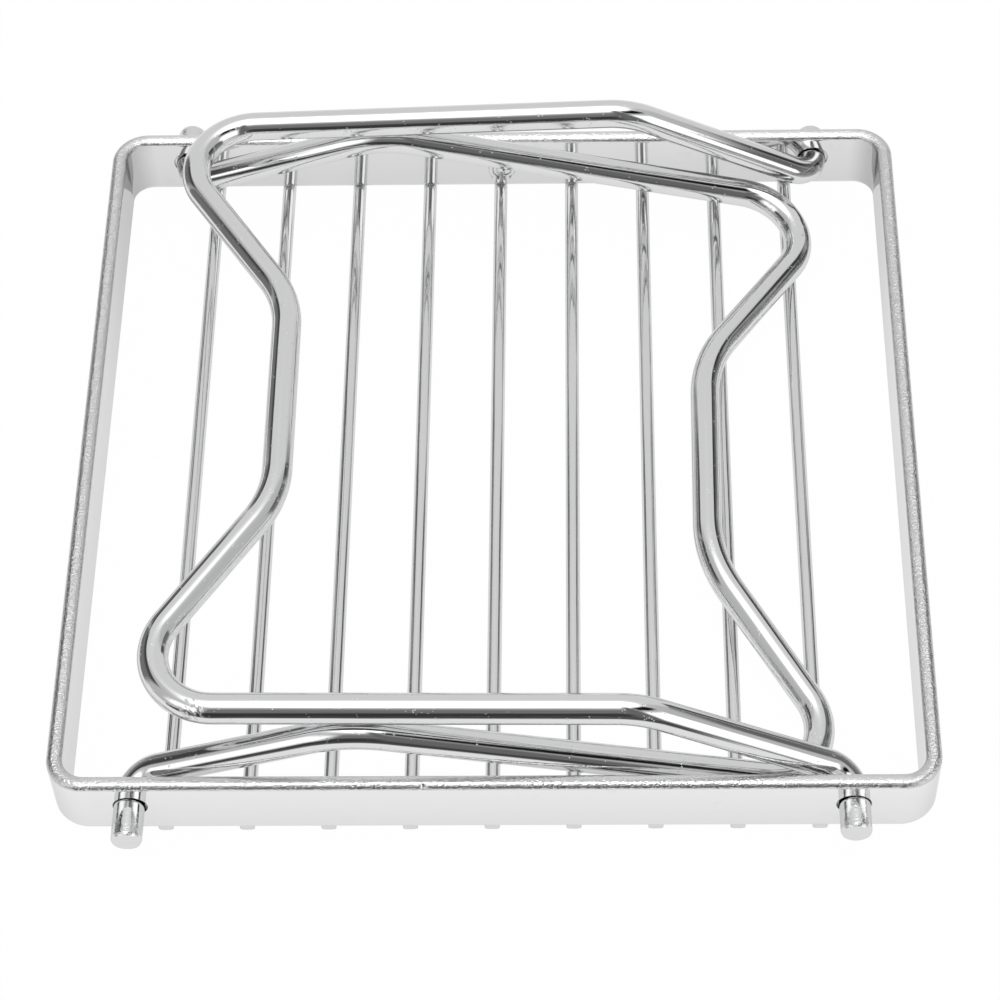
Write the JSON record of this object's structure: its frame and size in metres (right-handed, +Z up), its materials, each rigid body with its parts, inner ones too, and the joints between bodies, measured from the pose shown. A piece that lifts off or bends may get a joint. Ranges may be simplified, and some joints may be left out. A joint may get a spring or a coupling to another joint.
{
  "type": "folding toast rack",
  "caption": "Square flat-steel band on edge with a welded grid of straight wires underneath and bent rod legs that hinge in the band and fold flat over the grid.",
  "frame": {"origin": "middle of the footprint, on the surface that the grid wires rest on", "axes": "+X across the grid wires towards the side where the upper leg hinges, +Y along the wires towards the back, +Z up"},
  "size_m": [0.1708, 0.1806, 0.0352],
  "materials": {
    "satin_steel": "bright rolled stainless strip with a grainy satin upper edge",
    "wire_steel": "bright drawn stainless wire, ground smooth",
    "polished_rod": "polished stainless rod with light scratches"
  },
  "bodies": {
    "frame": {"band": "satin_steel", "grid_wire_1": "wire_steel", "grid_wire_2": "wire_steel", "grid_wire_3": "wire_steel", "grid_wire_4": "wire_steel", "grid_wire_5": "wire_steel", "grid_wire_6": "wire_steel", "grid_wire_7": "wire_steel", "grid_wire_8": "wire_steel", "grid_wire_9": "wire_steel"},
    "upper_leg": {"upper_leg": "polished_rod"},
    "lower_leg": {"lower_leg": "polished_rod"}
  },
  "joints": [
    {"name": "upper_leg_fold", "type": "hinge", "parent": "frame", "child": "upper_leg", "pos_m": [0.06865, 0, 0.0106], "axis": [0, 1, 0], "range_deg": [0, 111]},
    {"name": "lower_leg_fold", "type": "hinge", "parent": "frame", "child": "lower_leg", "pos_m": [-0.06935, 0, 0.0106], "axis": [0, -1, 0], "range_deg": [0, 13.5]}
  ],
  "couplings": [
    {"joint": "lower_leg_fold", "follows": "upper_leg_fold", "ratio": 0.12}
  ]
}
